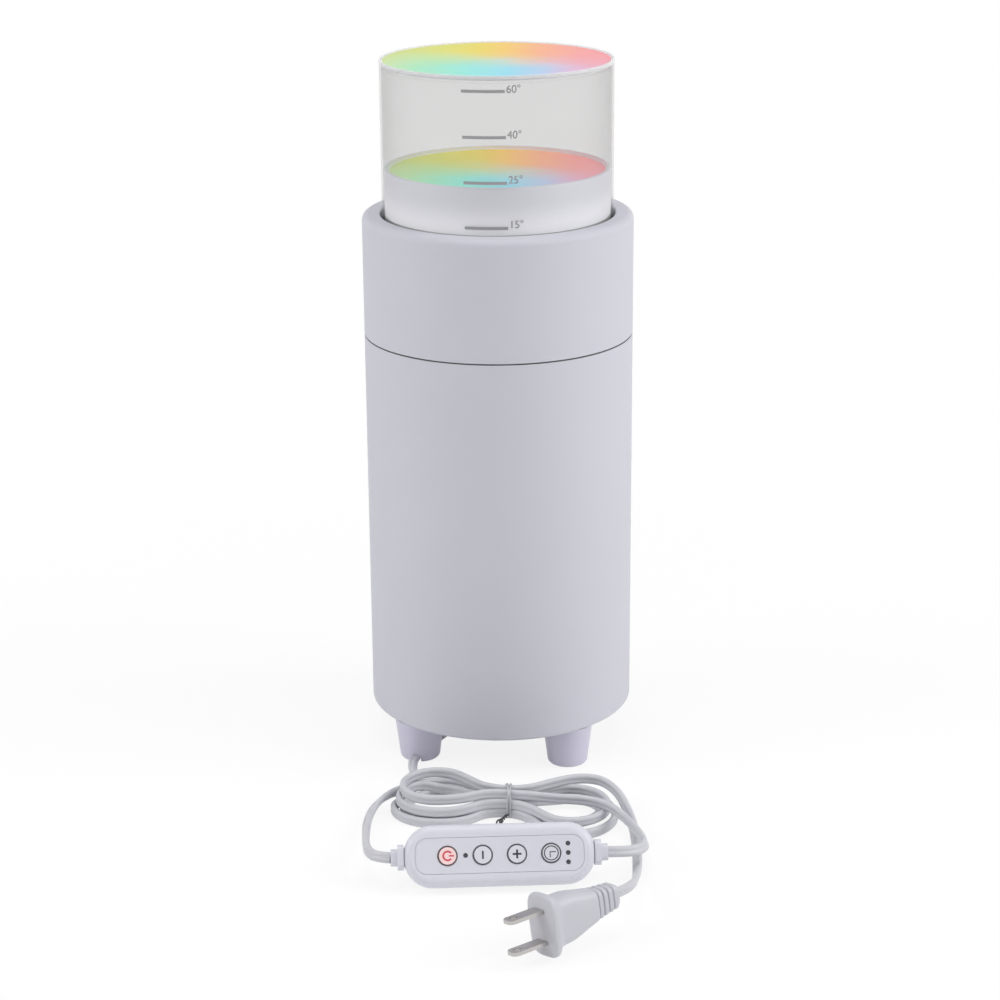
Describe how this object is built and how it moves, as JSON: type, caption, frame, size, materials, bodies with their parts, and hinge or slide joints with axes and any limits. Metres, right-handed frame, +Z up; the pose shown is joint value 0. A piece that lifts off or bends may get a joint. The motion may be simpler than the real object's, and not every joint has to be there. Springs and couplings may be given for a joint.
{
  "type": "floor uplighter",
  "caption": "White cylindrical floor uplighter on tapered feet with a clear graduated beam sleeve that slides over a light drum, an in-line button controller and a tied mains cord.",
  "frame": {"origin": "on the floor, below the centre of the lamp body", "axes": "+Z up along the axis of the lamp, -Y to the front where the cord and controller lie, +X to the right seen from the front"},
  "size_m": [0.1361, 0.2943, 0.3153],
  "materials": {
    "shell_plastic": "satin",
    "base_plastic": "satin",
    "foot_plastic": "satin",
    "glide_plastic": "matt",
    "screw_steel": "zinc plated",
    "drum_plastic": "satin",
    "disc_plastic": "frosted, tinted in a rainbow",
    "lens_plastic": "frosted, tinted in a rainbow",
    "sleeve_plastic": "clear",
    "reflector_plastic": "white",
    "sink_aluminium": "bare",
    "board_laminate": "solder resist",
    "driver_plastic": "matt",
    "chip_plastic": "clear resin",
    "cord_plastic": "soft",
    "wire_plastic": "soft",
    "controller_plastic": "satin",
    "button_plastic": "satin",
    "pipe_plastic": "clear smoke",
    "blade_steel": "nickel plated"
  },
  "bodies": {
    "lamp": {"lower_shell": "shell_plastic", "collar": "shell_plastic", "base_plate": "base_plastic", "chassis_deck": "base_plastic", "foot_1": "foot_plastic", "foot_2": "foot_plastic", "foot_3": "foot_plastic", "foot_4": "foot_plastic", "glide_ring": "glide_plastic", "base_screws": "screw_steel", "foot_screws": "screw_steel", "glide_screws": "screw_steel", "deck_screws": "screw_steel", "drum_screws": "screw_steel", "sink_screws": "screw_steel", "driver_screws": "screw_steel", "controller_screws": "screw_steel", "light_drum": "drum_plastic", "drum_disc": "disc_plastic", "reflector": "reflector_plastic", "heat_sink": "sink_aluminium", "driver_board": "board_laminate", "light_board": "board_laminate", "controller_board": "board_laminate", "driver_parts": "driver_plastic", "controller_switches": "driver_plastic", "light_chips": "chip_plastic", "lamp_lead": "cord_plastic", "cord_hank": "cord_plastic", "controller_lead": "cord_plastic", "plug_cord": "cord_plastic", "mains_tail": "cord_plastic", "cord_gland": "cord_plastic", "strain_relief_left": "cord_plastic", "strain_relief_right": "cord_plastic", "plug_body": "cord_plastic", "led_wires": "wire_plastic", "hank_tie": "wire_plastic", "controller_front": "controller_plastic", "controller_back": "controller_plastic", "controller_panel": "controller_plastic", "controller_lights": "pipe_plastic", "plug_blade_lower": "blade_steel", "plug_blade_upper": "blade_steel"},
    "beam_tube": {"beam_sleeve": "sleeve_plastic", "beam_lens": "lens_plastic", "stop_ring": "glide_plastic"},
    "power_key": {"button_power": "button_plastic"},
    "dimmer_key": {"button_dimmer": "button_plastic"},
    "brighter_key": {"button_brighter": "button_plastic"},
    "timer_key": {"button_timer": "button_plastic"}
  },
  "joints": [
    {"name": "beam_slide", "type": "slide", "parent": "lamp", "child": "beam_tube", "axis": [0, 0, 1], "range_m": [-0.0405, 0.017]},
    {"name": "power_press", "type": "slide", "parent": "lamp", "child": "power_key", "axis": [-0.0416, 0.882, -0.4695], "range_m": [0, 0.0006], "stiffness_N_per_m": 1200},
    {"name": "dimmer_press", "type": "slide", "parent": "lamp", "child": "dimmer_key", "axis": [-0.0416, 0.882, -0.4695], "range_m": [0, 0.0006], "stiffness_N_per_m": 1200},
    {"name": "brighter_press", "type": "slide", "parent": "lamp", "child": "brighter_key", "axis": [-0.0416, 0.882, -0.4695], "range_m": [0, 0.0006], "stiffness_N_per_m": 1200},
    {"name": "timer_press", "type": "slide", "parent": "lamp", "child": "timer_key", "axis": [-0.0416, 0.882, -0.4695], "range_m": [0, 0.0006], "stiffness_N_per_m": 1200}
  ]
}
